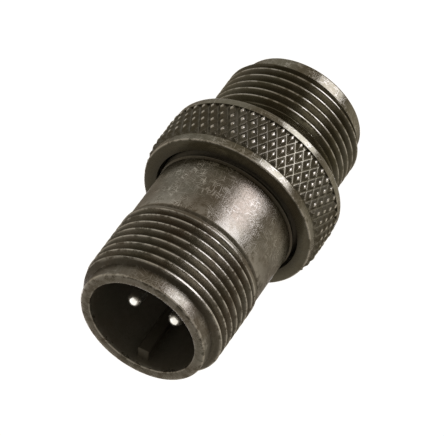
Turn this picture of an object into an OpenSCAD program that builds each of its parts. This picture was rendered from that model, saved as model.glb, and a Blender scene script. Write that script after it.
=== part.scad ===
// Two-contact circular cable receptacle: a threaded front shell with a keyed
// socket, and a knurled rear shell that screws onto it.
// It stands on its rear face, +Z up through the open socket.
// Distances called "from the front" run down the axis from the socket's rim.

/* [Overall] */
// Length over both shells, screwed tight
overall_length = 34.3; // [34:0.1:36]
// Crest diameter of the front, joining and rear threads
thread_d = 15.8; // [15.7:0.02:15.88]

/* [Front shell] */
// Diameter of the plain nose in front of the thread
nose_d = 14.1; // [13.8:0.1:14.4]
// Length of the plain nose
nose_length = 1.6; // [1.2:0.1:1.8]
// Where the front thread ends, from the front
thread_end = 9.6; // [9:0.05:9.7]
// Diameter of the smooth barrel
barrel_d = 15.38; // [15.2:0.02:15.6]
// Where the smooth barrel ends, from the front
barrel_end = 17.25; // [17:0.05:17.3]
// Diameter of the groove behind the front thread
relief_d = 14.8; // [14.3:0.1:14.9]

/* [Socket] */
// Inside diameter of the socket
socket_d = 11.86; // [11.6:0.02:12]
// Depth of the insulator's face, from the front
socket_depth = 10.4; // [10:0.1:10.6]
// Width of the polarising key
key_width = 1.3; // [1:0.1:1.6]
// Height of the polarising key
key_height = 1.4; // [1:0.1:1.6]
// How far the key starts behind the rim
key_setback = 1.0; // [0.6:0.1:2]

/* [Contacts] */
// Diameter of the pins
pin_d = 1.588; // [1.5:0.004:1.6]
// Distance between the two pins
pin_spacing = 4.65; // [4.4:0.05:5]
// How far the pin tips sit behind the rim
pin_setback = 2.2; // [1.6:0.1:3]
// Bore of the solder cups
cup_d = 1.7; // [1.4:0.1:1.8]

/* [Rear shell] */
// Diameter over the knurl
knurl_d = 20.14; // [19.9:0.02:20.4]
// Diameter of the plain lip in front of the knurl
lip_d = 19.3; // [19:0.1:19.6]
// Mouth diameter inside the lip
lip_bore_d = 16.3; // [16.2:0.1:16.8]
// Diameter of the plain band behind the knurl
band_d = 19.9; // [19.6:0.02:19.9]
// Diameter of the neck between the band and the rear thread
neck_d = 14.5; // [14:0.1:15]
// Diameter of the end collar
collar_d = 14.06; // [13.8:0.02:14.3]
// Cable bore of the end collar
cable_bore_d = 10.8; // [10:0.1:11]

/* [Hidden] */
// $fn only sets the smoothness of the preview
$fn = 96;
thread_r = thread_d / 2;
joint_r = thread_r + 0.04;        // bore of the rear shell around the joining thread
joint_from = 17.9;                // start of the joining thread, from the front
joint_relief_r = 7.6;             // shallow groove in front of it
seat_r = 6.30;                    // insert seat in the front shell
seat_from = 11.0;                 // its shoulder, from the front
shell_rear = 22.8;                // end of the front shell, and the shoulder it meets
insert_r = seat_r - 0.05;
insert_split = 15.6;              // where the two insulator halves meet
insert_rear = 19.95;
washer_from = 20.0;
washer_t = 0.55;
groove_from = 20.6;               // groove for the spring ring
groove_to = 21.5;
groove_r = 6.70;
lip_from = 17.75;
ring_from = 18.7;                 // knurl starts
ring_to = 23.2;                   // knurl ends
band_to = 24.05;
neck_to = 26.1;
rear_thread_to = 32.35;
chamber_r = 6.0;                  // wire chamber behind the solder cups
chamber_to = 26.0;
flange_r = 1.33;                  // contact shoulder trapped between the halves
flange_from = 13.4;
body_r = 1.02;                    // the contact's thicker part inside the insulator
tail_r = 1.22;
tail_to = 24.5;
shell_colour = [0.33, 0.31, 0.27];
insulator_colour = [0.16, 0.17, 0.15];
contact_colour = [0.80, 0.80, 0.78];
spring_colour = [0.45, 0.46, 0.47];

// A point given as radius and distance from the front
function rz(r, t) = [r, overall_length - t];

// A turned solid from a list of [radius, distance from the front]
module turned(points) {
    rotate_extrude() polygon([for (p = points) rz(p[0], p[1])]);
}

// A plain ring between two distances from the front
module ring(r_out, r_in, from, to) {
    turned([[r_in, from], [r_out, from], [r_out, to], [r_in, to]]);
}

module front_shell() {
    color(shell_colour) union() {
        turned([
            [socket_d / 2 + 0.15, 0], [nose_d / 2 - 0.2, 0], [nose_d / 2, 0.2],
            [nose_d / 2, nose_length], [thread_r, nose_length + 0.5],
            [thread_r, thread_end], [relief_d / 2, thread_end],
            [relief_d / 2, thread_end + 0.3], [barrel_d / 2, thread_end + 0.6],
            [barrel_d / 2, barrel_end - 0.1], [barrel_d / 2 - 0.1, barrel_end],
            [joint_relief_r, barrel_end], [joint_relief_r, joint_from],
            [thread_r, joint_from + 0.15], [thread_r, shell_rear - 0.5],
            [thread_r - 0.5, shell_rear], [seat_r, shell_rear],
            [seat_r, groove_to], [groove_r, groove_to],
            [groove_r, groove_from], [seat_r, groove_from],
            [seat_r, seat_from], [socket_d / 2, seat_from],
            [socket_d / 2, 0.15]
        ]);
        // polarising key along the socket wall
        intersection() {
            ring(socket_d / 2 + 0.4, 3, key_setback, seat_from - 0.6 - 0.5);
            translate([-key_width / 2, socket_d / 2 - key_height, overall_length - 12])
                cube([key_width, key_height + 0.4, 12]);
        }
        // short key that stops the insulator from turning in its seat
        intersection() {
            ring(seat_r + 0.2, 5.75, seat_from, seat_from + 3);
            translate([-0.6, 5, overall_length - 15]) cube([1.2, 2, 6]);
        }
    }
}

module rear_shell() {
    color(shell_colour)
    turned([
        [lip_bore_d / 2 + 0.1, lip_from], [lip_d / 2 - 0.15, lip_from],
        [lip_d / 2, lip_from + 0.15], [lip_d / 2, ring_from - 0.15],
        [knurl_d / 2 - 0.3, ring_from], [knurl_d / 2, ring_from + 0.15],
        [knurl_d / 2, ring_to - 0.1], [band_d / 2, ring_to],
        [band_d / 2, band_to - 0.15], [band_d / 2 - 0.15, band_to],
        [neck_d / 2, band_to], [neck_d / 2, neck_to],
        [thread_r, neck_to + 0.35], [thread_r, rear_thread_to],
        [collar_d / 2, rear_thread_to + 0.5], [collar_d / 2, overall_length - 0.2],
        [collar_d / 2 - 0.2, overall_length], [cable_bore_d / 2 + 0.2, overall_length],
        [cable_bore_d / 2, overall_length - 0.2], [cable_bore_d / 2, chamber_to],
        [chamber_r, chamber_to], [chamber_r, shell_rear], [joint_r, shell_rear],
        [joint_r, lip_from + 0.85], [lip_bore_d / 2, lip_from + 0.65],
        [lip_bore_d / 2, lip_from + 0.1]
    ]);
}

// Both contacts' places, as +1 and -1 along X
module at_contact(side) {
    translate([side * pin_spacing / 2, 0, 0]) children();
}

module front_insert() {
    color(insulator_colour) difference() {
        turned([
            [0, socket_depth], [socket_d / 2 - 0.18, socket_depth],
            [socket_d / 2 - 0.08, socket_depth + 0.1], [socket_d / 2 - 0.08, seat_from],
            [insert_r, seat_from], [insert_r, insert_split], [0, insert_split]
        ]);
        for (s = [-1, 1]) at_contact(s) {
            translate([0, 0, overall_length - flange_from])
                cylinder(r = body_r + 0.02, h = flange_from - socket_depth + 1);
            translate([0, 0, overall_length - insert_split - 1])
                cylinder(r = flange_r + 0.03, h = insert_split - flange_from + 1);
        }
        // slot for the short key in the seat
        translate([-0.65, 5.65, overall_length - seat_from - 3.05])
            cube([1.3, 2, 3.05 + 0.6]);
    }
}

module rear_insert() {
    color(insulator_colour) difference() {
        ring(insert_r, 0, insert_split, insert_rear);
        for (s = [-1, 1]) at_contact(s)
            translate([0, 0, overall_length - insert_rear - 1])
                cylinder(r = tail_r + 0.03, h = insert_rear - insert_split + 2);
    }
}

// A pin with a domed tip, a trapped shoulder, and an open solder cup behind
module contact(side) {
    r = pin_d / 2;
    color(contact_colour) at_contact(side) difference() {
        turned(concat(
            [[0, pin_setback]],
            [for (k = [1:8]) [r * sin(k * 90 / 8), pin_setback + r * (1 - cos(k * 90 / 8))]],
            [[r, socket_depth - 0.1], [body_r, socket_depth - 0.1],
             [body_r, flange_from], [flange_r, flange_from], [flange_r, insert_split],
             [tail_r, insert_split], [tail_r, tail_to - 0.1], [tail_r - 0.1, tail_to],
             [0, tail_to]]
        ));
        translate([0, 0, overall_length - tail_to - 1])
            cylinder(r = cup_d / 2, h = 4.6);
        // the cup's mouth is cut open on its outer side
        translate([side > 0 ? 0.35 : -0.35 - 3, -3, overall_length - tail_to - 1])
            cube([3, 6, 2.4]);
    }
}

module pin_contact_a() { contact(-1); }
module pin_contact_b() { contact(1); }

module backing_washer() {
    color(spring_colour) ring(seat_r - 0.07, 4.4, washer_from, washer_from + washer_t);
}

module retaining_ring() {
    color(spring_colour) difference() {
        ring(groove_r - 0.07, 5.5, groove_from + 0.05, groove_to - 0.05);
        // the opening of the spring ring
        translate([0, 0, overall_length - groove_to - 1])
            linear_extrude(height = 3)
                polygon([[0, 0], [-3.4, -9], [3.4, -9]]);
    }
}

front_shell();
rear_shell();
front_insert();
rear_insert();
pin_contact_a();
pin_contact_b();
backing_washer();
retaining_ring();
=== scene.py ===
"""Two-contact circular cable receptacle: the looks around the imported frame.

Lengths in the modelling code are millimetres; every mesh is scaled to metres when it is made.
"t" is the distance down the axis from the front rim, so z = LENGTH - t.
"""

import math

import bmesh
import bpy
import numpy as np
from mathutils import Matrix, Vector


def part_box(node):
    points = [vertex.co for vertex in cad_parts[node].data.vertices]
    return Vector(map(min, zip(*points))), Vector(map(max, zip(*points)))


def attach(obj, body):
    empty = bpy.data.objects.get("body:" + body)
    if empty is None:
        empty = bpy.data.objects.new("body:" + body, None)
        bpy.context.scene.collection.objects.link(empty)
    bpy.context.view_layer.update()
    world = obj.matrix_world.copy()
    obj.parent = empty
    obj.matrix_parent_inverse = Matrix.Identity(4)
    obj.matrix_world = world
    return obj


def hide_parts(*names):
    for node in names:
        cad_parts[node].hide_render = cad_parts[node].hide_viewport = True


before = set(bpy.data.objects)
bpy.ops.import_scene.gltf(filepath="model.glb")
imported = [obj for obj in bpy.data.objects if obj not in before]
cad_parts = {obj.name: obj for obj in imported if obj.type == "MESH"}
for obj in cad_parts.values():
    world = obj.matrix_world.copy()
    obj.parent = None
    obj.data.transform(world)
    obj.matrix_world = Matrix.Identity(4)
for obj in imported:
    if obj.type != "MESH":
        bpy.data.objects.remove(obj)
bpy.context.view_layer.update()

TAU = 2 * math.pi
MM = 0.001
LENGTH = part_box("front_shell")[1].z / MM
PITCH = 25.4 / 24
VIEWED = math.radians(251.9)  # the side facing the camera, as an angle round the axis; painted shade and the painted highlight tint are laid out from it

# ---------------------------------------------------------------- mesh tools


class Surface:
    """Rows of points joined by faces. A row is a ring of points round the axis, or a strip."""

    def __init__(self):
        self.points, self.count, self.faces = [], 0, []

    def row(self, r, t, angle):
        r, t, angle = np.broadcast_arrays(
            np.asarray(r, float), np.asarray(t, float), np.asarray(angle, float)
        )
        return self.raw(
            np.c_[r * np.cos(angle), r * np.sin(angle), LENGTH - t]
        )

    def raw(self, points):
        points = np.asarray(points, float)
        self.points.append(points)
        found = np.arange(self.count, self.count + len(points))
        self.count += len(points)
        return found

    def quads(self, a, b, c, d):
        self.faces += np.c_[a, b, c, d].tolist()

    def join(self, a, b, closed=True):
        """Quads between two rows of the same length."""
        if closed:
            self.quads(a, np.roll(a, -1), np.roll(b, -1), b)
        else:
            self.quads(a[:-1], a[1:], b[1:], b[:-1])

    def zip(self, a, b):
        """Triangles between two closed rings that start at the same angle but have different counts."""
        n, m = len(a), len(b)
        i = j = 0
        while i < n or j < m:
            if j >= m or (i < n and (i + 1) / n <= (j + 1) / m):
                self.faces.append([int(a[i % n]), int(a[(i + 1) % n]), int(b[j % m])])
                i += 1
            else:
                self.faces.append([int(a[i % n]), int(b[(j + 1) % m]), int(b[j % m])])
                j += 1

    def mesh(self, name, merge=2e-4):
        me = bpy.data.meshes.new(name)
        me.from_pydata((np.vstack(self.points) * MM).tolist(), [], self.faces)
        bm = bmesh.new()
        bm.from_mesh(me)
        bmesh.ops.remove_doubles(bm, verts=bm.verts, dist=merge * MM)
        bmesh.ops.dissolve_degenerate(bm, edges=bm.edges, dist=merge * MM / 4)
        loose = [v for v in bm.verts if not v.link_faces]
        bmesh.ops.delete(bm, geom=loose, context="VERTS")
        bmesh.ops.recalc_face_normals(bm, faces=bm.faces)
        bm.to_mesh(me)
        bm.free()
        return me


def place(name, me, body, node, material, sharp=32.0):
    """The finished piece: smooth with sharp creases, riding on its body in place of its CAD node."""
    me.shade_smooth()
    me.set_sharp_from_angle(angle=math.radians(sharp))
    ob = bpy.data.objects.new(name, me)
    bpy.context.scene.collection.objects.link(ob)
    me.materials.clear()
    me.materials.append(material)
    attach(ob, body)
    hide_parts(node)
    return ob


def points_of(me):
    co = np.empty(len(me.vertices) * 3)
    me.vertices.foreach_get("co", co)
    co = co.reshape(-1, 3) / MM
    return np.hypot(co[:, 0], co[:, 1]), LENGTH - co[:, 2], np.arctan2(co[:, 1], co[:, 0]), co


def paint(me, name, values):
    a = me.attributes.new(name, "FLOAT", "POINT")
    a.data.foreach_set("value", np.clip(values, 0, 1).astype(np.float32))


def ramp(x, a, b):
    return np.clip((x - a) / (b - a), 0, 1)


def bump(x, centre, half):
    """1 at the centre, falling to 0 at half away from it."""
    return np.clip(1 - np.abs(x - centre) / half, 0, 1)


# ---------------------------------------------------------------- screw threads

CREST, ROOT = 7.90, 7.25
MALE_X = [0, 0.045, 0.068, 0.09, 0.115, 0.40, 0.43, 0.46, 0.49, 0.53]
MALE_R = [7.90, 7.90, 7.893, 7.868, 7.824, 7.321, 7.280, 7.258, 7.25, 7.25]
MALE_KNOTS = [0.045, 0.068, 0.09, 0.115, 0.20, 0.30, 0.40, 0.43, 0.46, 0.49]


def male(t, angle, phase, fade=None):
    """Radius of the outside thread, with crests where t + PITCH * angle / TAU = phase."""
    x = (t + PITCH * angle / TAU - phase + PITCH / 2) % PITCH - PITCH / 2
    r = np.interp(np.abs(x), MALE_X, MALE_R)
    if fade is not None:
        gap = np.where(x > 0, PITCH / 2 - x, -PITCH / 2 - x)  # to the nearest root
        r = CREST - (CREST - r) * fade(t + gap)
    return r


def helix_rows(s, t0, t1, phase, knots, columns, radius):
    """Rows that follow the helix from t0 to t1, each end cut square to the axis. radius(t, angle)."""
    angle = TAU * np.arange(columns) / columns
    offsets = sorted([-k for k in knots] + list(knots))
    first = math.floor((t0 - phase) / PITCH) - 1
    last = math.ceil((t1 - phase) / PITCH) + 2
    turns = [phase + PITCH * m + o for m in range(first, last + 1) for o in offsets]
    along = [t0] + sorted(h for h in turns if t0 + 1e-6 < h < t1 + PITCH - 1e-6) + [t1 + PITCH]
    along = np.array(along)
    rows = []
    for h in along:
        t = np.clip(h - PITCH * angle / TAU, t0, t1)
        rows.append(s.row(radius(t, angle), t, angle))
    # past the last column a row meets the row that is one pitch back
    back = []
    for h in along:
        if h - PITCH <= t0 + 1e-6:
            back.append(0)
        elif h - PITCH >= t1 - 1e-6:
            back.append(len(along) - 1)
        else:
            back.append(int(np.argmin(np.abs(along - (h - PITCH)))))
    for k in range(len(along) - 1):
        a, b = rows[k], rows[k + 1]
        s.join(a, b, closed=False)
        s.faces.append([int(a[-1]), int(rows[back[k]][0]), int(rows[back[k + 1]][0]), int(b[-1])])
    return rows[0], rows[-1]


def spin(s, profile, angle, start=None, closed=True):
    """Joins rings of (r, t) after the row start. Returns (first, last)."""
    first, last = start, start
    for r, t in profile:
        new = s.row(r, t, angle)
        if last is not None:
            s.join(last, new, closed)
        else:
            first = new
        last = new
    return first, last


# ---------------------------------------------------------------- front shell

FRONT_COLUMNS = 240
FRONT_PHASE, JOINT_PHASE, REAR_PHASE = 2.7406, 18.23, 28.10


def front_radius(t, angle):
    cut = np.interp(t, [1.6, 1.65, 1.90, 2.20, 2.40], [7.05, 7.14, 7.865, 7.865, 7.93])
    land = np.interp(t, [8.74, 8.80, 9.08, 9.14], [7.25, 7.31, 7.84, 7.88])
    end = np.interp(t, [9.53, 9.60], [7.91, 7.83])
    return np.minimum(np.minimum(np.maximum(male(t, angle, FRONT_PHASE), land), cut), end)


def joint_radius(t, angle):
    cut = np.interp(t, [17.90, 18.05, 22.30, 22.74], [7.65, 7.91, 7.93, 7.42])
    return np.minimum(male(t, angle, JOINT_PHASE), cut)


def key_points(r, inset, y_top, columns=5):
    """The key's section from its one foot on the bore, over the top, to the other foot."""
    w = 0.65 - inset
    foot = math.sqrt(r * r - w * w)
    half = [(w, foot), (w, y_top + 0.10), (w - 0.10, y_top), (0.36, y_top), (0.18, y_top)]
    return [(x, y) for x, y in half] + [(0.0, y_top)] + [(-x, y) for x, y in half[::-1]]


def build_front_shell():
    s = Surface()
    n = FRONT_COLUMNS
    angle = TAU * np.arange(n) / n
    first, last = spin(
        s,
        [(5.93, 0.16), (5.945, 0.08), (5.99, 0.025), (6.07, 0.0), (6.45, 0.0), (6.80, 0.0),
         (6.90, 0.02), (6.97, 0.065), (7.02, 0.135), (7.045, 0.22), (7.05, 0.32),
         (7.05, 1.0), (7.05, 1.6)],
        angle,
    )
    a, b = helix_rows(s, 1.6, 9.60, FRONT_PHASE, MALE_KNOTS, n, front_radius)
    s.join(last, a)
    _, last = spin(
        s,
        [(7.76, 9.615), (7.50, 9.64), (7.43, 9.68), (7.40, 9.74), (7.40, 9.84), (7.42, 9.90),
         (7.50, 10.00), (7.60, 10.10), (7.655, 10.155), (7.68, 10.19), (7.69, 10.24),
         (7.69, 12.5), (7.69, 15.0), (7.69, 16.95), (7.685, 17.06), (7.665, 17.15), (7.63, 17.21),
         (7.59, 17.25), (7.575, 17.29), (7.58, 17.33), (7.62, 17.36)],
        angle, b,
    )
    _, last = spin(
        s,
        [(7.70, 17.39), (7.76, 17.42), (7.78, 17.45), (7.78, 17.50),
         (7.77, 17.53), (7.70, 17.58), (7.66, 17.63), (7.65, 17.70)],
        angle, last,
    )
    a, b = helix_rows(s, 17.90, 22.74, JOINT_PHASE, [0.03, 0.08, 0.11, 0.25, 0.40, 0.44, 0.49], n, joint_radius)
    s.join(last, a)
    _, last = spin(
        s,
        [(7.38, 22.78), (7.33, 22.795), (6.40, 22.795), (6.34, 22.78), (6.30, 22.74),
         (6.30, 21.54), (6.34, 21.50), (6.66, 21.50), (6.70, 21.46), (6.70, 20.64), (6.66, 20.60),
         (6.34, 20.60), (6.30, 20.56), (6.30, 14.2)],
        angle, b,
    )
    # the short key that stops the insulator from turning, then the shoulder
    mid = n // 4
    lug = np.full(n, 6.30)
    lug[mid - 4 : mid + 5] = 5.75
    last_plain = last
    for r, t in ((6.30, 14.0), (lug, 14.0), (lug, 11.0)):
        new = s.row(r, t, angle)
        s.join(last_plain, new)
        last_plain = new
    shoulder = s.row(5.94, 11.0, angle)
    s.join(last_plain, shoulder)
    last = shoulder
    # the socket wall, whose columns move sideways at the key
    keyed = angle.copy()
    for m in range(-5, 6):
        keyed[mid + m] = math.pi / 2 + math.asin(0.65 * m / 5 / 5.93)
    plain = lambda t: s.row(5.93, t, keyed)

    def with_key(t, inset, y_top):
        pts = np.c_[5.93 * np.cos(keyed), 5.93 * np.sin(keyed), np.full(n, LENGTH - t)]
        pts[mid - 5 : mid + 6, :2] = key_points(5.93, inset, y_top)
        return s.raw(pts)

    for new in (
        s.row(5.93, 10.95, angle), plain(10.5), plain(9.9), with_key(9.9, 0.07, 4.60),
        with_key(9.82, 0.0, 4.53), with_key(5.5, 0.0, 4.53), with_key(1.10, 0.0, 4.53),
        with_key(1.03, 0.03, 4.56), with_key(1.0, 0.10, 4.63), plain(1.0), plain(0.6),
        first,
    ):
        s.join(last, new)
        last = new
    return s.mesh("front_shell_turned")


# ---------------------------------------------------------------- rear shell

REAR_COLUMNS = 212
KNURL_STARTS = 53
KNURL_STEP = 14
KNURL_SLOPE = 0.475  # grooves crossed per millimetre along the axis
KNURL_BASE, KNURL_HEIGHT = 9.74, 0.33
KNURL_FROM, KNURL_TO = 18.71, 23.20


def uneven(phi):
    """Moves evenly stepped phases so that the steps beside a groove and a tip are narrower."""
    whole = np.round(phi)
    f = phi - whole
    steps = np.array([0, 1, 2, 3, 4, 5, 6, 7]) / 14
    moved = np.array([0, 0.62, 1.9, 3.2, 4.4, 5.45, 6.3, 7]) / 14
    return whole + np.sign(f) * np.interp(np.abs(f), steps, moved)


def knurl_height(plus, minus):
    def ridge(phi):
        f = np.abs((phi + 0.5) % 1 - 0.5)  # 0 in a groove, 0.5 between two
        return np.interp(
            f, np.array([0, 0.62, 1.9, 3.2, 4.4, 5.45, 6.3, 7]) / 14, [0, 0.03, 0.25, 0.50, 0.725, 0.89, 0.97, 1.0]
        )

    return KNURL_HEIGHT * np.minimum(ridge(plus), ridge(minus))


def by_pyramid(plus, minus, salt):
    """A number from 0 to 1 for each pyramid of the knurl, the same all over it."""
    i, j = np.floor(plus), np.floor(minus)
    # the two counts run up by KNURL_STARTS over a turn, so only what does not change is used
    i, j = i % KNURL_STARTS, (i - j) % 1000
    mixed = np.sin(i * 12.9898 + j * 78.233 + salt) * 43758.5453
    return mixed - np.floor(mixed)


def knurl_radius(t, angle):
    turns = KNURL_STARTS * angle / TAU
    plus = turns + KNURL_SLOPE * t + 0.395
    minus = turns - KNURL_SLOPE * t + 0.056
    height = knurl_height(plus, minus)
    # the tips are struck down by different amounts
    worn = 0.006 + 0.030 * by_pyramid(plus, minus, 0.7) ** 2
    height = np.minimum(height, KNURL_HEIGHT - worn + 0.25 * np.maximum(height - KNURL_HEIGHT + worn, 0))
    r = KNURL_BASE + height
    lead = np.interp(t, [KNURL_FROM, KNURL_FROM + 0.30], [9.72, 10.08])
    return np.minimum(r, lead)


def rear_radius(t, angle):
    cut = np.interp(t, [26.15, 26.45, 32.28, 32.32, 32.76], [7.25, 7.93, 7.93, 7.90, 7.03])
    return np.minimum(male(t, angle, REAR_PHASE), cut)


def nut_radius(t, angle):
    x = (t + PITCH * angle / TAU - JOINT_PHASE + PITCH / 2) % PITCH - PITCH / 2
    r = np.interp(np.abs(x), [0, 0.078, 0.418, 0.53], [7.94, 7.94, 7.35, 7.35])
    mouth = np.interp(t, [18.40, 18.94, 21.7, 22.05], [8.15, 7.35, 7.35, 7.94])
    return np.maximum(r, mouth)


def build_rear_shell():
    s = Surface()
    n = REAR_COLUMNS
    angle = TAU * np.arange(n) / n
    first, last = spin(
        s,
        [(8.15, 17.86), (8.165, 17.79), (8.21, 17.75), (9.0, 17.75), (9.46, 17.75),
         (9.555, 17.765), (9.615, 17.81), (9.645, 17.875), (9.65, 17.96),
         (9.65, 18.60), (9.66, 18.67), (9.69, 18.705)],
        angle,
    )
    # the diamond knurl: rows at even steps, each second row half a step round
    count = KNURL_STARTS * KNURL_STEP
    low = math.ceil(((KNURL_FROM + 0.07) * 2 * KNURL_SLOPE + 0.339) * KNURL_STEP)
    high = math.floor(((KNURL_TO - 0.07) * 2 * KNURL_SLOPE + 0.339) * KNURL_STEP)
    rows, halves = [], []
    for k in range(low, high + 1):
        j = np.arange(count)
        # plus = (j + k + start) / STEP and minus = j / STEP, up to a shared whole half step
        start = k % 2
        total, apart = 2 * j + start, k
        plus = uneven((total + apart) / 2 / KNURL_STEP)
        minus = uneven((total - apart) / 2 / KNURL_STEP)
        t = (plus - minus - 0.339) / (2 * KNURL_SLOPE)
        ang = (plus + minus - 0.451) / (2 * KNURL_STARTS) * TAU
        rows.append(s.row(knurl_radius(t, ang), t, ang))
        halves.append(start)
    for k in range(len(rows) - 1):
        a, b = rows[k], rows[k + 1]
        if halves[k] == 0:  # b lies half a step on
            s.faces += np.c_[a, np.roll(a, -1), b].tolist()
            s.faces += np.c_[np.roll(a, -1), np.roll(b, -1), b].tolist()
        else:
            s.faces += np.c_[a, np.roll(b, -1), b].tolist()
            s.faces += np.c_[a, np.roll(a, -1), np.roll(b, -1)].tolist()
    # ring rows close to where the knurl's rows start round the axis
    offset = ((halves[0]) / KNURL_STEP - 0.451) / (2 * KNURL_STARTS) * TAU
    edge_angle = offset + TAU * np.arange(count) / count
    a = s.row(np.minimum(knurl_radius(KNURL_FROM, edge_angle), 9.72), KNURL_FROM, edge_angle)
    s.join(a, rows[0])
    s.zip(last, a)
    end_offset = ((halves[-1]) / KNURL_STEP - 0.451) / (2 * KNURL_STARTS) * TAU
    end_angle = end_offset + TAU * np.arange(count) / count
    b = s.row(knurl_radius(KNURL_TO, end_angle), KNURL_TO, end_angle)
    s.join(rows[-1], b)
    c = s.row(9.925, KNURL_TO + 0.015, angle)
    s.zip(b, c)
    _, last = spin(
        s,
        [(9.95, 23.24), (9.95, 23.86), (9.94, 23.93), (9.91, 23.99), (9.86, 24.03), (9.79, 24.05),
         (8.6, 24.05), (7.45, 24.05), (7.33, 24.08), (7.27, 24.14), (7.25, 24.22),
         (7.25, 25.2), (7.25, 26.15)],
        angle, c,
    )
    a, b = helix_rows(s, 26.15, 32.76, REAR_PHASE, MALE_KNOTS, n, rear_radius)
    s.join(last, a)
    _, last = spin(
        s,
        [(7.03, 32.82), (7.03, 33.5), (7.03, 34.04), (7.022, 34.13), (6.99, 34.21), (6.93, 34.27),
         (6.85, 34.30), (6.2, 34.30), (5.60, 34.30), (5.49, 34.275), (5.42, 34.21), (5.40, 34.10),
         (5.40, 30.0), (5.40, 26.06), (5.42, 26.015), (5.46, 26.0), (5.92, 26.0), (5.98, 25.98),
         (6.0, 25.92), (6.0, 22.88), (6.02, 22.82), (6.08, 22.80), (7.88, 22.80), (7.93, 22.79),
         (7.94, 22.74)],
        angle, b,
    )
    a, b = helix_rows(s, 18.40, 22.70, JOINT_PHASE, [0.078, 0.25, 0.418, 0.50], n, nut_radius)
    s.join(last, b)
    _, last = spin(s, [(8.15, 18.36), (8.15, 18.1)], angle, a)
    s.join(last, first)
    return s.mesh("rear_shell_turned")


# ---------------------------------------------------------------- inner pieces


def solid(name, profile, columns, centre=(0, 0), caps=(False, False)):
    """A turned solid whose first and last profile points sit on its axis when caps say so."""
    s = Surface()
    angle = TAU * np.arange(columns) / columns
    rows = [s.row(r, t, angle) for r, t in profile]
    for a, b in zip(rows, rows[1:]):
        s.join(a, b)
    if caps[0]:
        tip = s.raw([[0, 0, LENGTH - profile[0][1]]])[0]
        s.faces += [[int(x), int(y), int(tip)] for x, y in zip(rows[0], np.roll(rows[0], -1))]
    if caps[1]:
        tip = s.raw([[0, 0, LENGTH - profile[-1][1]]])[0]
        s.faces += [[int(x), int(y), int(tip)] for x, y in zip(rows[-1], np.roll(rows[-1], -1))]
    if not any(caps):
        s.join(rows[-1], rows[0])
    me = s.mesh(name)
    if any(centre):
        me.transform(Matrix.Translation((centre[0] * MM, centre[1] * MM, 0)))
    return me


def box_mesh(name, lo, hi):
    """A cutter's box, from the corners lo and hi in (x, y, t)."""
    bm = bmesh.new()
    x0, y0, z0 = lo[0], lo[1], LENGTH - hi[2]
    x1, y1, z1 = hi[0], hi[1], LENGTH - lo[2]
    bmesh.ops.create_cube(bm, size=1)
    for v in bm.verts:
        v.co = Vector((x1 if v.co.x > 0 else x0, y1 if v.co.y > 0 else y0, z1 if v.co.z > 0 else z0)) * MM
    me = bpy.data.meshes.new(name)
    bm.to_mesh(me)
    bm.free()
    return me


def cut(me, cutters):
    """me with the cutters taken out of it."""
    ob = bpy.data.objects.new("cutting", me)
    bpy.context.scene.collection.objects.link(ob)
    tools = []
    for c in cutters:
        tool = bpy.data.objects.new("cutter", c)
        bpy.context.scene.collection.objects.link(tool)
        m = ob.modifiers.new("cut", "BOOLEAN")
        m.operation, m.solver, m.object = "DIFFERENCE", "EXACT", tool
        tools.append(tool)
    bpy.context.view_layer.update()
    done = bpy.data.meshes.new_from_object(ob.evaluated_get(bpy.context.evaluated_depsgraph_get()))
    for o in [ob, *tools]:
        old = o.data
        bpy.data.objects.remove(o)
        bpy.data.meshes.remove(old)
    bm = bmesh.new()
    bm.from_mesh(done)
    bmesh.ops.remove_doubles(bm, verts=bm.verts, dist=1e-7)
    bmesh.ops.dissolve_degenerate(bm, edges=bm.edges, dist=1e-8)
    bmesh.ops.recalc_face_normals(bm, faces=bm.faces)
    bm.to_mesh(done)
    bm.free()
    return done


HALF_SPACING = 2.325


def build_contact(side):
    r = 0.794
    dome = [(r * math.sin(k * math.pi / 28), 2.2 + r * (1 - math.cos(k * math.pi / 28))) for k in range(1, 15)]
    profile = dome + [
        (r, 4.0), (r, 7.0), (r, 10.28), (0.98, 10.30), (1.01, 10.315), (1.02, 10.35), (1.02, 13.38), (1.06, 13.40),
        (1.29, 13.40), (1.33, 13.44), (1.33, 15.54), (1.29, 15.58), (1.24, 15.60), (1.22, 15.64),
        (1.22, 24.40), (1.19, 24.47), (1.12, 24.50), (0.93, 24.50), (0.87, 24.47), (0.85, 24.40),
        (0.85, 21.0), (0.55, 20.92), (0.02, 20.60),
    ]
    me = solid("contact", profile, 56, (side * HALF_SPACING, 0), (True, True))
    # the cup's mouth is cut open on its outer side
    x0 = side * HALF_SPACING + (0.35 if side > 0 else -3.35)
    cutter = box_mesh("mouth", (x0, -3, 23.1), (x0 + 3, 3, 25.6))
    return cut(me, [cutter])


def build_front_insert():
    body = solid(
        "front_insert_moulded",
        [(0.02, 10.40), (3.2, 10.40), (5.70, 10.40), (5.81, 10.43), (5.85, 10.52), (5.85, 11.0),
         (6.17, 11.0), (6.25, 11.08), (6.25, 15.52), (6.17, 15.60), (0.02, 15.60)],
        120, caps=(True, True),
    )
    tools = []
    for s in (-1, 1):
        tools.append(solid(
            "hole",
            [(0.02, 9.4), (1.24, 9.4), (1.24, 10.3), (1.24, 10.40), (1.04, 10.60), (1.04, 13.4), (1.36, 13.4), (1.36, 16.4), (0.02, 16.4)],
            56, (s * HALF_SPACING, 0), (True, True),
        ))
    tools.append(box_mesh("slot", (-0.65, 5.65, 10.2), (0.65, 7.5, 14.05)))
    return cut(body, tools)


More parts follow.
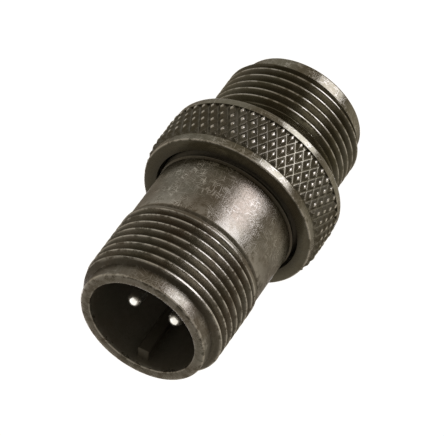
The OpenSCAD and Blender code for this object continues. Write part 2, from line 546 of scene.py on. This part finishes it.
def build_rear_insert():
    body = solid(
        "rear_insert_moulded",
        [(0.02, 15.60), (6.17, 15.60), (6.25, 15.68), (6.25, 19.85), (6.22, 19.92), (6.15, 19.95), (0.02, 19.95)],
        120, caps=(True, True),
    )
    tools = [
        solid(
            "hole",
            [(0.02, 15.0), (1.25, 15.0), (1.25, 19.80), (1.45, 19.95), (1.45, 21.0), (0.02, 21.0)],
            56, (s * HALF_SPACING, 0), (True, True),
        )
        for s in (-1, 1)
    ]
    return cut(body, tools)


def build_washer():
    return solid(
        "washer_pressed",
        [(4.46, 20.0), (6.17, 20.0), (6.21, 20.015), (6.23, 20.06), (6.23, 20.49), (6.21, 20.535),
         (6.17, 20.55), (4.46, 20.55), (4.42, 20.535), (4.40, 20.49), (4.40, 20.06), (4.42, 20.015)],
        144,
    )


def build_retaining_ring():
    body = solid(
        "ring_coiled",
        [(5.56, 20.65), (6.57, 20.65), (6.61, 20.665), (6.63, 20.71), (6.63, 21.39), (6.61, 21.435),
         (6.57, 21.45), (5.56, 21.45), (5.52, 21.435), (5.50, 21.39), (5.50, 20.71), (5.52, 20.665)],
        160,
    )
    bm = bmesh.new()
    zs = (LENGTH - 22.5, LENGTH - 19.6)
    corners = [(0, 0), (-3.4, -9), (3.4, -9)]
    vs = [[bm.verts.new((x * MM, y * MM, z * MM)) for x, y in corners] for z in zs]
    bm.faces.new(vs[0][::-1])
    bm.faces.new(vs[1])
    for i in range(3):
        j = (i + 1) % 3
        bm.faces.new([vs[0][i], vs[0][j], vs[1][j], vs[1][i]])
    bmesh.ops.recalc_face_normals(bm, faces=bm.faces)
    wedge = bpy.data.meshes.new("wedge")
    bm.to_mesh(wedge)
    bm.free()
    return cut(body, [wedge])


# ---------------------------------------------------------------- materials


class Nodes:
    """A short way to write a node tree."""

    def __init__(self, name):
        self.material = bpy.data.materials.new(name)
        self.material.use_nodes = True
        self.tree = self.material.node_tree
        self.tree.nodes.clear()
        self.out = self.tree.nodes.new("ShaderNodeOutputMaterial")
        self.bsdf = self.tree.nodes.new("ShaderNodeBsdfPrincipled")
        self.tree.links.new(self.bsdf.outputs[0], self.out.inputs[0])

    def node(self, kind, **settings):
        n = self.tree.nodes.new(kind)
        for k, v in settings.items():
            setattr(n, k, v)
        return n

    def link(self, a, b):
        self.tree.links.new(a, b)

    def put(self, socket, value):
        if isinstance(value, bpy.types.NodeSocket):
            self.link(value, socket)
        else:
            socket.default_value = value

    def math(self, op, a, b=None, c=None, clamp=False):
        n = self.node("ShaderNodeMath", operation=op, use_clamp=clamp)
        for i, v in enumerate((a, b, c)):
            if v is not None:
                self.put(n.inputs[i], v)
        return n.outputs[0]

    def place(self, scale=(1, 1, 1), shift=(0, 0, 0)):
        """Object coordinates in millimetres, then scaled."""
        if not hasattr(self, "_co"):
            self._co = self.node("ShaderNodeTexCoord").outputs["Object"]
        n = self.node("ShaderNodeMapping")
        self.link(self._co, n.inputs["Vector"])
        n.inputs["Scale"].default_value = [1000 * s for s in scale]
        n.inputs["Location"].default_value = shift
        return n.outputs[0]

    def noise(self, scale, detail=3.0, rough=0.55, stretch=(1, 1, 1), shift=(0, 0, 0), distort=0.0):
        n = self.node("ShaderNodeTexNoise")
        self.link(self.place(stretch, shift), n.inputs["Vector"])
        n.inputs["Scale"].default_value = scale
        n.inputs["Detail"].default_value = detail
        n.inputs["Roughness"].default_value = rough
        n.inputs["Distortion"].default_value = distort
        return n.outputs["Fac"]

    def remap(self, value, a, b, c=0.0, d=1.0, smooth=False):
        n = self.node("ShaderNodeMapRange", interpolation_type="SMOOTHSTEP" if smooth else "LINEAR")
        self.put(n.inputs["Value"], value)
        for k, v in zip(("From Min", "From Max", "To Min", "To Max"), (a, b, c, d)):
            self.put(n.inputs[k], v)
        return n.outputs[0]

    def mix(self, fac, a, b):
        n = self.node("ShaderNodeMix", data_type="RGBA")
        self.put(n.inputs["Factor"], fac)
        for socket, v in zip((n.inputs["A"], n.inputs["B"]), (a, b)):
            pass
        ins = [i for i in n.inputs if i.type == "RGBA"]
        self.put(ins[0], a if isinstance(a, bpy.types.NodeSocket) else (*a, 1))
        self.put(ins[1], b if isinstance(b, bpy.types.NodeSocket) else (*b, 1))
        return [o for o in n.outputs if o.type == "RGBA"][0]

    def attribute(self, name):
        return self.node("ShaderNodeAttribute", attribute_name=name).outputs["Fac"]

    def bumps(self, height, strength, distance):
        n = self.node("ShaderNodeBump")
        self.put(n.inputs["Strength"], strength)
        n.inputs["Distance"].default_value = distance * MM
        self.put(n.inputs["Height"], height)
        if hasattr(self, "_normal"):
            self.link(self._normal, n.inputs["Normal"])
        self._normal = n.outputs[0]
        return self._normal

    def finish(self, colour, roughness, metallic=1.0, **fixed):
        self.put(self.bsdf.inputs["Base Color"], colour)
        self.put(self.bsdf.inputs["Roughness"], roughness)
        self.put(self.bsdf.inputs["Metallic"], metallic)
        for k, v in fixed.items():
            self.bsdf.inputs[k].default_value = v
        if hasattr(self, "_normal"):
            self.link(self._normal, self.bsdf.inputs["Normal"])
        return self.material


def radius_and_height(m):
    xyz = m.node("ShaderNodeSeparateXYZ")
    m.link(m.place(), xyz.inputs[0])
    x, y, z = xyz.outputs
    r = m.math("SQRT", m.math("ADD", m.math("MULTIPLY", x, x), m.math("MULTIPLY", y, y)))
    return r, z


def lathe_marks(m, scale, seed=0.0):
    """Fine turning marks: noise of the distance along the axis and across the radius, the same all round."""
    r, z = radius_and_height(m)
    xyz = m.node("ShaderNodeCombineXYZ")
    m.link(m.math("MULTIPLY", z, 1.0), xyz.inputs[2])
    m.link(m.math("MULTIPLY", r, 1.0), xyz.inputs[0])
    xyz.inputs[1].default_value = seed
    n = m.node("ShaderNodeTexNoise")
    m.link(xyz.outputs[0], n.inputs["Vector"])
    n.inputs["Scale"].default_value = scale
    n.inputs["Detail"].default_value = 2.0
    return n.outputs["Fac"]


def unrolled(m, radius):
    """The surface laid flat: millimetres round the axis, then along it. The seam is on the side away from the camera.
    """
    turned = m.node("ShaderNodeMapping", vector_type="POINT")
    m.link(m.place(), turned.inputs["Vector"])
    turned.inputs["Rotation"].default_value = (0, 0, -VIEWED)
    xyz = m.node("ShaderNodeSeparateXYZ")
    m.link(turned.outputs[0], xyz.inputs[0])
    arc = m.math("MULTIPLY", m.math("ARCTAN2", xyz.outputs[1], xyz.outputs[0]), radius)
    flat = m.node("ShaderNodeCombineXYZ")
    m.link(arc, flat.inputs[0])
    m.link(xyz.outputs[2], flat.inputs[1])
    return flat.outputs[0]


def scratches(m, flat, degrees, thin, long, shift, low, high):
    """Thin marks at one slant across the unrolled surface."""
    n = m.node("ShaderNodeMapping", vector_type="TEXTURE")
    m.link(flat, n.inputs["Vector"])
    n.inputs["Location"].default_value = (shift, 3.7 * shift, 0)
    n.inputs["Rotation"].default_value = (0, 0, math.radians(degrees))
    n.inputs["Scale"].default_value = (thin, long, 1)
    streak = m.node("ShaderNodeTexNoise")
    m.link(n.outputs[0], streak.inputs["Vector"])
    streak.inputs["Scale"].default_value = 1.0
    streak.inputs["Detail"].default_value = 0.5
    return m.remap(streak.outputs["Fac"], low, high, smooth=True)


def plated_metal(name, seed, tints, smooth, grainy):
    """Worn olive cadmium plate over steel: patchy colour, fine grain, rubbed edges and short scratches, darkened by
    painted shade and tinted by a painted highlight where the pieces paint them.
    """
    m = Nodes(name)
    broad = m.noise(0.20, 3.0, 0.5, shift=(seed, 0, 0))
    patch = m.noise(0.9, 4.0, 0.6, shift=(0, seed, 0))
    grain = m.noise(4.6, 3.0, 0.65, shift=(0, 0, seed))
    fine = m.noise(11.0, 2.0, 0.6, shift=(seed, seed, 0))
    marks = lathe_marks(m, 6.0, seed)
    wear, painted_shade, painted_highlight_tint, scuff, matte = (m.attribute(k) for k in ("wear", "painted_shade", "painted_highlight_tint", "scuff", "matte"))
    olive, brown, grey = tints
    colour = m.mix(m.remap(broad, 0.35, 0.65, smooth=True), olive, brown)
    colour = m.mix(m.remap(patch, 0.42, 0.72, 0.0, 0.7, smooth=True), colour, grey)
    # a lighter pinkish colour painted where the key's highlight falls on the barrel: a painted highlight tint
    colour = m.mix(m.math("MULTIPLY", painted_highlight_tint, 0.8), colour, (0.335, 0.284, 0.235))
    colour = m.mix(m.remap(grain, 0.46, 0.66, 0.0, 0.45), colour, (0.185, 0.168, 0.128))
    colour = m.mix(m.remap(fine, 0.52, 0.66, 0.0, 0.35), colour, (0.40, 0.385, 0.33))
    # rubbed bright where the wear is, in broken patches, or all over where it is strongest
    broken = m.math("ADD", m.math("MULTIPLY", grain, 0.3), m.math("MULTIPLY", patch, 0.7))
    ragged = m.math("MAXIMUM", m.remap(broken, 0.42, 0.53, smooth=True), m.remap(wear, 0.90, 1.0, 0.0, 0.85))
    rubbed = m.math("MULTIPLY", wear, ragged, clamp=True)
    # thin light scratches at four slants, in clusters
    flat = unrolled(m, 7.7)
    lines = scratches(m, flat, 8, 0.11, 1.3, seed, 0.61, 0.67)
    for degrees, thin, long, low in ((-34, 0.10, 0.9, 0.625), (67, 0.10, 1.1, 0.615), (-80, 0.12, 1.5, 0.625)):
        lines = m.math("MAXIMUM", lines, scratches(m, flat, degrees, thin, long, seed + degrees, low, low + 0.06))
    cluster = m.remap(m.noise(0.55, 1.0, 0.5, shift=(seed, 2 * seed, 0)), 0.44, 0.60, 0.25, 1.0)
    scratched = m.math("MULTIPLY", lines, m.math("MULTIPLY", scuff, cluster), clamp=True)
    bright = m.math("MAXIMUM", rubbed, scratched)
    # painted shade: where the pieces paint shade, the colour is pulled towards a dark brown and made rougher
    painted_shade_mix = m.math("MULTIPLY", m.math("MULTIPLY", painted_shade, 0.9), m.math("SUBTRACT", 1.0, rubbed))
    colour = m.mix(painted_shade_mix, colour, (0.060, 0.052, 0.035))
    colour = m.mix(bright, colour, (0.90, 0.87, 0.79))
    rough = m.remap(patch, 0.3, 0.7, smooth, smooth + 0.09)
    rough = m.math("ADD", rough, m.remap(grain, 0.35, 0.7, -0.04, 0.07))
    rough = m.math("ADD", rough, m.math("MULTIPLY", bright, 0.12))
    rough = m.math("ADD", rough, m.math("MULTIPLY", painted_shade_mix, 0.28), clamp=True)
    m.bumps(marks, 0.12, 0.02)
    m.bumps(m.math("ADD", m.math("MULTIPLY", grain, 0.5), m.math("MULTIPLY", fine, 0.5)),
            m.remap(rubbed, 0.0, 1.0, grainy, 0.25 * grainy), 0.05)
    m.bumps(scratched, 0.35, 0.02)
    return m.finish(colour, rough, m.math("SUBTRACT", 1.0, matte))


def silver(name):
    m = Nodes(name)
    patch = m.noise(1.2, 3.0)
    marks = lathe_marks(m, 9.0, 4.0)
    colour = m.mix(m.remap(patch, 0.4, 0.7, smooth=True), (0.88, 0.87, 0.83), (0.72, 0.69, 0.62))
    rough = m.remap(patch, 0.3, 0.7, 0.20, 0.30)
    m.bumps(marks, 0.10, 0.01)
    return m.finish(colour, rough)


def moulded(name, base, light):
    m = Nodes(name)
    patch = m.noise(0.7, 4.0, 0.6)
    grain = m.noise(6.0, 3.0, 0.6)
    colour = m.mix(m.remap(patch, 0.4, 0.75, smooth=True), base, light)
    rough = m.remap(grain, 0.3, 0.7, 0.42, 0.58)
    m.bumps(grain, 0.25, 0.03)
    return m.finish(colour, rough, metallic=0.0)


def spring_steel(name, seed):
    m = Nodes(name)
    patch = m.noise(0.8, 3.0, shift=(seed, 0, 0))
    marks = lathe_marks(m, 7.0, seed)
    colour = m.mix(m.remap(patch, 0.35, 0.7, smooth=True), (0.40, 0.41, 0.42), (0.27, 0.26, 0.25))
    rough = m.remap(marks, 0.3, 0.7, 0.28, 0.42)
    m.bumps(marks, 0.15, 0.02)
    return m.finish(colour, rough)


# ---------------------------------------------------------------- pieces

front_metal = plated_metal(
    "plated_front", 3.1, ((0.280, 0.268, 0.216), (0.278, 0.240, 0.190), (0.312, 0.292, 0.248)),
    0.21, 0.42,
)
rear_metal = plated_metal(
    "plated_rear", 8.7, ((0.296, 0.284, 0.214), (0.280, 0.256, 0.190), (0.325, 0.310, 0.248)),
    0.11, 0.10,
)
pin_metal = silver("silver_plating")
plastic = moulded("insulator_moulded", (0.075, 0.064, 0.056), (0.105, 0.090, 0.080))
steel = spring_steel("spring_steel_blued", 2.0)


def turned_by(a):
    """Angle from the side facing the camera, in degrees, -180 to 180, growing clockwise from above."""
    return -np.degrees((a - VIEWED + math.pi) % TAU - math.pi)


me = build_front_shell()
r, t, a, co = points_of(me)
side = turned_by(a)
outside = r > 6.2
thread = (t > 1.7) & (t < 9.2)
barrel = (t > 10.1) & (t < 17.3) & outside
nose = (t < 1.62) & outside
wear = np.where(outside, ramp(r, 7.80, 7.87) * thread * 0.88, 0)
wear = np.maximum(wear, ramp(r, 7.66, 7.76) * outside * (t > 1.7) * (t < 2.35) * 0.96)
wear = np.maximum(wear, bump(t, 0.12, 0.20) * (r > 6.6) * 1.2)
wear = np.maximum(wear, bump(t, 0.0, 0.05) * (r > 6.0) * 0.20)
wear = np.maximum(wear, bump(np.hypot(r - 7.68, t - 10.21), 0, 0.12) * 0.55)
wear = np.maximum(wear, bump(np.hypot(r - 5.96, t - 0.05), 0, 0.15) * 1.2)
# painted shade, darkening the colour: the bore and the key deep in it, the thread roots, the groove behind the thread,
# the foot of the first thread, the nose, thread and barrel on the sides turned from the lights, and the barrel end
# under the lip
painted_shade = (r < 6.0) * ramp(t, 0.15, 0.9) * 0.45
painted_shade[(r < 5.88) & (t > 1.08)] = 1.0
left, right = ramp(-side, 18, 55), ramp(side, 25, 60)
painted_shade = np.maximum(painted_shade, nose * (r > 6.95) * (left * 0.30 + right * 0.50))
painted_shade = np.maximum(painted_shade, outside * bump(t, 1.40, 0.50) * 0.95 * left)
painted_shade = np.maximum(painted_shade, outside * bump(t, 1.62, 0.14) * 0.50)
painted_shade = np.maximum(painted_shade, ((r < 7.84) & outside & thread) * (1 - ramp(r, 7.25, 7.75)) * 0.45)
painted_shade = np.maximum(painted_shade, (outside & thread) * ramp(np.abs(side), 50, 75) * 0.45)
painted_shade = np.maximum(painted_shade, ((r < 7.5) & outside & (t > 9.6) & (t < 10.1)) * 0.5)
painted_shade = np.maximum(painted_shade, barrel * (1 - ramp(t, 10.8, 14.2)) * (ramp(side, 32, 62) * 0.62 + ramp(-side, 45, 75) * 0.35))
painted_shade = np.maximum(painted_shade, outside * ramp(t, 17.22, 17.32) * 0.35)
painted_shade = np.maximum(painted_shade, outside * ramp(t, 17.55, 17.62) * 0.60)
scuff = barrel * (0.45 + 0.55 * bump(side, -36, 34)) + (nose & (r > 7.0) & (t > 0.2)) * 0.35
matte = (r < 6.0) * ramp(t, 0.06, 0.30) * 0.55
matte = np.maximum(matte, outside * ramp(t, 17.54, 17.60) * 0.35)
paint(me, "matte", matte)
paint(me, "wear", wear)
paint(me, "painted_shade", painted_shade)
# painted highlight tint: the barrel on the side turned towards the key light, from its middle back
paint(me, "painted_highlight_tint", barrel * bump(side, 6, 26) * ramp(t, 10.6, 12.0))
paint(me, "scuff", scuff)
front_shell = place("front_shell_body", me, "front_body", "front_shell", front_metal)

me = build_rear_shell()
r, t, a, co = points_of(me)
knurled = (t > 18.7) & (t < 23.2)
side = turned_by(a)
wear = ramp(r, 9.985, 10.03) * knurled * 1.0
wear = np.maximum(wear, (1 - ramp(r, 9.745, 9.77)) * knurled * 0.10)
wear = np.maximum(wear, ramp(r, 7.82, 7.89) * ((t > 26) & (t < 32.5)) * 0.65)
wear = np.maximum(wear, bump(np.hypot(r - 9.61, t - 17.82), 0, 0.17) * 1.1)
wear = np.maximum(wear, bump(np.hypot(r - 9.88, t - 23.98), 0, 0.16) * 0.9)
wear = np.maximum(wear, bump(np.hypot(r - 6.98, t - 34.24), 0, 0.16) * 0.7)
# painted shade, darkening the colour: the cable bore, the thread roots, the knurl's flanks and grooves, the lip's
# bore, and the lip face, lip cylinder and knurl grooves on the sides turned from the lights
painted_shade = (r < 6.05) * (t > 22) * 0.4
painted_shade = np.maximum(painted_shade, ((r < 7.75) & (r > 7.1) & (t > 24.1) & (t < 32.6)) * 0.40)
painted_shade = np.maximum(painted_shade, knurled * ramp(r, 9.745, 9.79) * (1 - ramp(r, 9.99, 10.03)) * 0.66)
painted_shade = np.maximum(painted_shade, ((r < 8.3) & (t < 18.5)) * 0.7)
painted_shade = np.maximum(painted_shade, knurled * (1 - ramp(r, 9.76, 9.80)) * (ramp(-side, -12, 6) * 0.75 + ramp(side, 20, 40) * 0.45))
painted_shade = np.maximum(painted_shade, ((r < 9.5) & (t < 17.8)) * (ramp(-side, 30, 75) * 0.50 + ramp(side, 30, 55) * 0.12))
painted_shade = np.maximum(painted_shade, ((r > 9.5) & (t < 18.66)) * ramp(np.abs(side), 20, 45) * 0.34)
paint(me, "wear", wear)
paint(me, "painted_shade", painted_shade)
paint(me, "painted_highlight_tint", 0.0 * t)
paint(me, "scuff", ((r > 9.6) & (t < 18.7)) * 0.55 + ((r > 9.9) & (t > 23.2)) * 0.5 + ((t > 32.8) & (r > 7.0)) * 0.5)
paint(me, "matte", ((r < 8.3) & (t < 18.5)) * 0.35 + ((r < 6.05) & (t > 22)) * 0.3)
rear_shell = place("rear_shell_body", me, "rear_body", "rear_shell", rear_metal)

contacts = []
for side, letter in ((-1, "a"), (1, "b")):
    contacts.append(place("contact_" + letter, build_contact(side), "front_body", "pin_contact_" + letter, pin_metal))
front_insert = place("front_insert_body", build_front_insert(), "front_body", "front_insert", plastic)
place("rear_insert_body", build_rear_insert(), "front_body", "rear_insert", plastic)
place("washer_body", build_washer(), "ring_body", "backing_washer", steel)
place("retaining_ring_body", build_retaining_ring(), "ring_body", "retaining_ring", steel)

# ---------------------------------------------------------------- studio


def stage_material(name, colour, diffuse, glow):
    """A pale matte surface that also glows, so that it stays even wherever the lights are."""
    m = Nodes(name)
    speck = m.noise(0.02, 3.0)
    shade = m.mix(speck, tuple(c * 0.995 for c in colour), colour)
    m.finish(shade, 0.9, metallic=0.0)
    m.bsdf.inputs["Specular IOR Level"].default_value = 0.0
    m.bsdf.inputs["Emission Color"].default_value = (*colour, 1)
    m.bsdf.inputs["Emission Strength"].default_value = glow
    return m.material


def disc(name, radius, z, material, columns=96):
    bm = bmesh.new()
    rings = [0.05, 0.3, 1.0, radius]
    last = [bm.verts.new((0, 0, z))]
    for k, rad in enumerate(rings):
        new = [bm.verts.new((rad * math.cos(TAU * j / columns), rad * math.sin(TAU * j / columns), z)) for j in range(columns)]
        for j in range(columns):
            i = (j + 1) % columns
            if k == 0:
                bm.faces.new([last[0], new[j], new[i]])
            else:
                bm.faces.new([last[j], new[j], new[i], last[i]])
        last = new
    me = bpy.data.meshes.new(name)
    bm.to_mesh(me)
    bm.free()
    me.materials.append(material)
    ob = bpy.data.objects.new(name, me)
    bpy.context.scene.collection.objects.link(ob)
    return ob


floor = disc("floor", 1.8, -0.00002, stage_material("pale_floor", (0.90, 0.90, 0.895), 0.8, 1.03))
floor.visible_glossy = False
floor.visible_shadow = False
floor.visible_diffuse = False

bm = bmesh.new()
bmesh.ops.create_uvsphere(bm, u_segments=64, v_segments=32, radius=1.79)
bmesh.ops.reverse_faces(bm, faces=bm.faces)
sky_mesh = bpy.data.meshes.new("backdrop")
bm.to_mesh(sky_mesh)
bm.free()
sky_mesh.shade_smooth()
sky_mesh.materials.append(stage_material("pale_backdrop", (0.96, 0.96, 0.955), 0.8, 1.0))
backdrop = bpy.data.objects.new("backdrop", sky_mesh)
bpy.context.scene.collection.objects.link(backdrop)
backdrop.visible_glossy = False
backdrop.visible_diffuse = False
backdrop.visible_shadow = False
backdrop.visible_transmission = False

def toward(azimuth, elevation):
    a, e = math.radians(azimuth), math.radians(elevation)
    return Vector((math.cos(a) * math.cos(e), math.sin(a) * math.cos(e), math.sin(e)))


def studio_world(strength, heights, glows):
    """A plain room: darker overhead than level with the object, with broad pale walls as glows."""
    world = bpy.data.worlds.new("studio")
    world.use_nodes = True
    tree = world.node_tree
    tree.nodes.clear()

    def node(kind, **settings):
        n = tree.nodes.new(kind)
        for k, v in settings.items():
            setattr(n, k, v)
        return n

    way = node("ShaderNodeTexCoord").outputs["Generated"]
    split = node("ShaderNodeSeparateXYZ")
    tree.links.new(way, split.inputs[0])
    span = node("ShaderNodeMapRange")
    tree.links.new(split.outputs[2], span.inputs["Value"])
    span.inputs["From Min"].default_value = -1
    levels = node("ShaderNodeValToRGB")
    levels.color_ramp.interpolation = "B_SPLINE"
    while len(levels.color_ramp.elements) < len(heights):
        levels.color_ramp.elements.new(0.5)
    for e, (z, value, tint) in zip(levels.color_ramp.elements, heights):
        e.position = (z + 1) / 2
        e.color = (*(value * c for c in tint), 1)
    tree.links.new(span.outputs[0], levels.inputs[0])
    total = levels.outputs[0]
    for azimuth, elevation, inner, outer, value, tint in glows:
        dot = node("ShaderNodeVectorMath", operation="DOT_PRODUCT")
        tree.links.new(way, dot.inputs[0])
        dot.inputs[1].default_value = toward(azimuth, elevation)
        fall = node("ShaderNodeMapRange", interpolation_type="SMOOTHSTEP")
        tree.links.new(dot.outputs["Value"], fall.inputs["Value"])
        fall.inputs["From Min"].default_value = math.cos(math.radians(outer))
        fall.inputs["From Max"].default_value = math.cos(math.radians(inner))
        add = node("ShaderNodeMix", data_type="RGBA", blend_type="ADD", clamp_result=False)
        tree.links.new(fall.outputs[0], add.inputs["Factor"])
        ins = [k for k in add.inputs if k.type == "RGBA"]
        tree.links.new(total, ins[0])
        ins[1].default_value = (*(value * c for c in tint), 1)
        total = [o for o in add.outputs if o.type == "RGBA"][0]
    background = node("ShaderNodeBackground")
    tree.links.new(total, background.inputs[0])
    background.inputs[1].default_value = strength
    tree.links.new(background.outputs[0], node("ShaderNodeOutputWorld").inputs[0])
    bpy.context.scene.world = world
    return world


LOW, WARM = (1.0, 0.87, 0.70), (1.0, 0.91, 0.78)
studio_world(
    1.0,
    [(-1.0, 0.20, LOW), (-0.75, 0.23, LOW), (-0.45, 0.24, LOW), (0.0, 0.27, LOW), (0.35, 0.27, WARM),
     (0.60, 0.26, WARM), (0.80, 0.14, WARM), (1.0, 0.10, WARM)],
    [(342, -34, 10, 40, 0.15, (1.0, 1.08, 1.15)), (152, -34, 10, 36, 0.22, (1.0, 0.97, 0.88))],
)

CENTRE = Vector((0, 0, 0.017))


def soft_box(name, azimuth, elevation, distance, width, height, radiance, colour=(1, 1, 1), only=None):
    """A plain rectangular light aimed at the object. Angles are where it stands, seen from the object."""
    way = toward(azimuth, elevation)
    data = bpy.data.lights.new(name, "AREA")
    data.shape = "RECTANGLE"
    data.size, data.size_y = width, height
    data.energy = radiance * math.pi * width * height
    data.color = colour
    ob = bpy.data.objects.new(name, data)
    ob.location = CENTRE + way * distance
    ob.rotation_euler = (-way).to_track_quat("-Z", "Y").to_euler()
    bpy.context.scene.collection.objects.link(ob)
    ob.visible_camera = False
    if only:
        lit = bpy.data.collections.new(name + "_lights")
        for piece in only:
            lit.objects.link(piece)
        ob.light_linking.receiver_collection = lit
    return ob


soft_box("key_soft_box", 231.8, -36.6, 0.6, 0.41, 0.46, 1.72, (1.0, 0.99, 1.10))
soft_box("key_centre", 231.8, -36.6, 0.59, 0.20, 0.30, 0.50, (1.0, 0.99, 1.10))
soft_box("far_side_box", 62.0, -6.0, 0.6, 0.34, 0.26, 2.0, (1.0, 0.99, 1.10))
soft_box("back_box", 74.0, -36.0, 0.6, 0.24, 0.40, 1.4, (1.0, 0.99, 1.08))
soft_box("socket_box", 60.0, 82.0, 0.5, 1.1, 1.1, 1.15, (1.0, 1.0, 1.0), only=contacts + [front_insert])

# ---------------------------------------------------------------- camera

camera = bpy.data.objects.new("camera", bpy.data.cameras.new("camera"))
bpy.context.scene.collection.objects.link(camera)
camera.data.sensor_width = 36
camera.data.lens = 296.07
camera.data.clip_start, camera.data.clip_end = 0.01, 50
camera.matrix_world = Matrix((
    (-0.87678, 0.41107, -0.249556, -0.092803),
    (-0.082922, -0.640406, -0.763547, -0.283932),
    (-0.473688, -0.648769, 0.595582, 0.238900),
    (0, 0, 0, 1),
))
bpy.context.scene.camera = camera
bpy.context.scene.view_settings.view_transform = "Standard"
bpy.context.scene.view_settings.look = "None"
